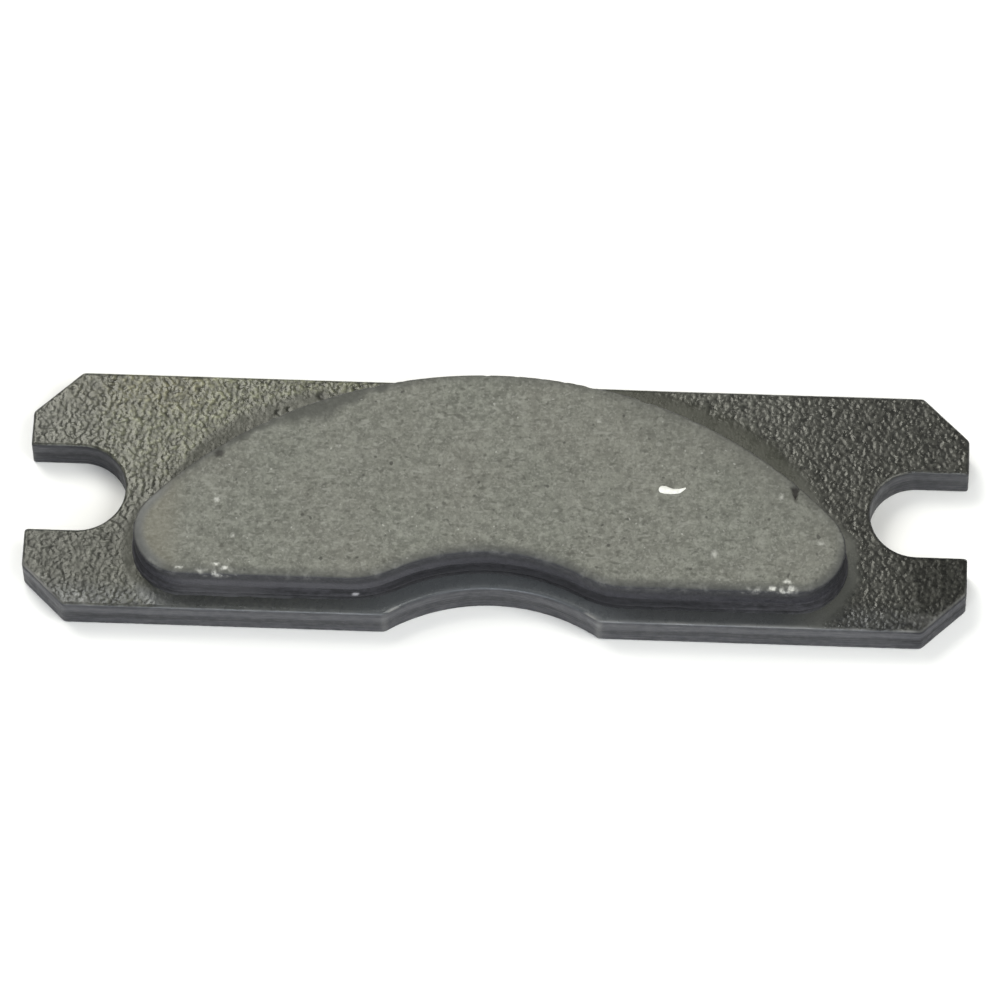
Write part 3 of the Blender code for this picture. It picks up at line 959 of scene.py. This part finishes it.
def dab_paint():
    """Dried off-white paint."""
    s = Shader("white_paint")
    tone = s.noise(0.6, 3.0)
    colour = s.mix(s.between(tone, 0.3, 0.7), (0.56, 0.56, 0.53), (0.70, 0.70, 0.67))
    return s.finish(colour, s.between(tone, 0.3, 0.7, 0.35, 0.5), s.noise(0.2), 0.02)


def floor_surface():
    """Plain pale floor."""
    s = Shader("pale_floor")
    return s.finish(s.mix(s.noise(60.0), (0.82, 0.82, 0.82), (0.86, 0.86, 0.86)), 0.7)


# ---------------------------------------------------------------- studio

def add_floor():
    """A large pale floor under the pad."""
    bm = bmesh.new()
    bmesh.ops.create_grid(bm, x_segments=4, y_segments=4, size=FLOOR_HALF)
    mesh = bpy.data.meshes.new("floor")
    bm.to_mesh(mesh)
    bm.free()
    floor = bpy.data.objects.new("floor", mesh)
    floor.location.z = CAD_LOW.z - FLOOR_GAP
    floor.data.materials.append(floor_surface())
    bpy.context.scene.collection.objects.link(floor)


def add_softbox(name, place, size, power, colour):
    """An area lamp that looks at the pad."""
    data = bpy.data.lights.new(name, "AREA")
    data.shape = "RECTANGLE"
    data.size, data.size_y = size
    data.energy = power
    data.color = colour
    lamp = bpy.data.objects.new(name, data)
    lamp.location = place
    lamp.rotation_euler = (-Vector(place)).to_track_quat("-Z", "Y").to_euler()
    bpy.context.scene.collection.objects.link(lamp)


def add_studio():
    """Soft lamps behind, at the right and in front, in a surrounding that looks as pale as the floor."""
    world = bpy.data.worlds.new("studio")
    world.use_nodes = True
    tree = world.node_tree
    background = tree.nodes["Background"]
    background.inputs["Color"].default_value = WORLD_COLOUR
    strength = tree.nodes.new("ShaderNodeMapRange")
    strength.inputs["To Min"].default_value = WORLD_STRENGTH
    strength.inputs["To Max"].default_value = WORLD_AS_SEEN
    light_path = tree.nodes.new("ShaderNodeLightPath")
    tree.links.new(light_path.outputs["Is Camera Ray"], strength.inputs["Value"])
    tree.links.new(strength.outputs["Result"], background.inputs["Strength"])
    bpy.context.scene.world = world
    for lamp in SOFTBOXES:
        add_softbox(*lamp)


def add_camera():
    """A long lens above the pad's front edge, turned and rolled a little."""
    azimuth, elevation, roll = (math.radians(angle) for angle in CAMERA_ANGLES)
    back = Vector((
        math.sin(azimuth) * math.cos(elevation),
        -math.cos(azimuth) * math.cos(elevation),
        math.sin(elevation),
    ))
    level_right = Vector((math.cos(azimuth), math.sin(azimuth), 0.0))
    level_up = back.cross(level_right)
    right = math.cos(roll) * level_right + math.sin(roll) * level_up
    up = math.cos(roll) * level_up - math.sin(roll) * level_right
    place = CAMERA_DISTANCE * back + CAMERA_SLIDE[0] * right + CAMERA_SLIDE[1] * up
    data = bpy.data.cameras.new("camera")
    data.sensor_width = CAMERA_SENSOR
    data.lens = CAMERA_LENS
    data.clip_end = CAMERA_REACH
    camera = bpy.data.objects.new("camera", data)
    columns = Matrix((right, up, back)).transposed()
    camera.matrix_world = Matrix.Translation(place) @ columns.to_4x4()
    bpy.context.scene.collection.objects.link(camera)
    bpy.context.scene.camera = camera


# ---------------------------------------------------------------- the pad

def dress(piece, node, material):
    """Gives a piece its material, rides it on the pad's one body and hides the CAD node it stands for."""
    piece.data.materials.append(material)
    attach(piece, "root")
    if node:
        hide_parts(node)


def build_pad():
    """Builds and dresses all five pieces."""
    plate_outline = evenly_spaced(section_outline("backing_plate", 0.5 * PLATE_HIGH.z), WALL_STEP, passes=1)
    lining_middle = 0.5 * (LINING_LOW.z + LINING_HIGH.z)
    lining_outline = evenly_spaced(section_outline("friction_lining", lining_middle), LINING_STEP)
    underlayer_skin = dark_layer("underlayer_skin", (0.013, 0.013, 0.015), (0.038, 0.037, 0.043), 0.6)
    bond_skin = dark_layer("bond_skin", (0.018, 0.018, 0.020), (0.040, 0.040, 0.043), 0.55)

    dress(build_plate(plate_outline, lining_outline), "backing_plate", plate_paint())
    dress(build_lining(lining_outline), "friction_lining", lining_composite())
    dress(build_underlayer(lining_outline), "underlayer", underlayer_skin)
    dress(build_bond(lining_outline), "bond_layer", bond_skin)
    dress(build_paint_dab(LINING_HIGH.z - FACE_DROP), None, dab_paint())


build_pad()
add_floor()
add_studio()
add_camera()
bpy.context.scene.view_settings.view_transform = "Standard"
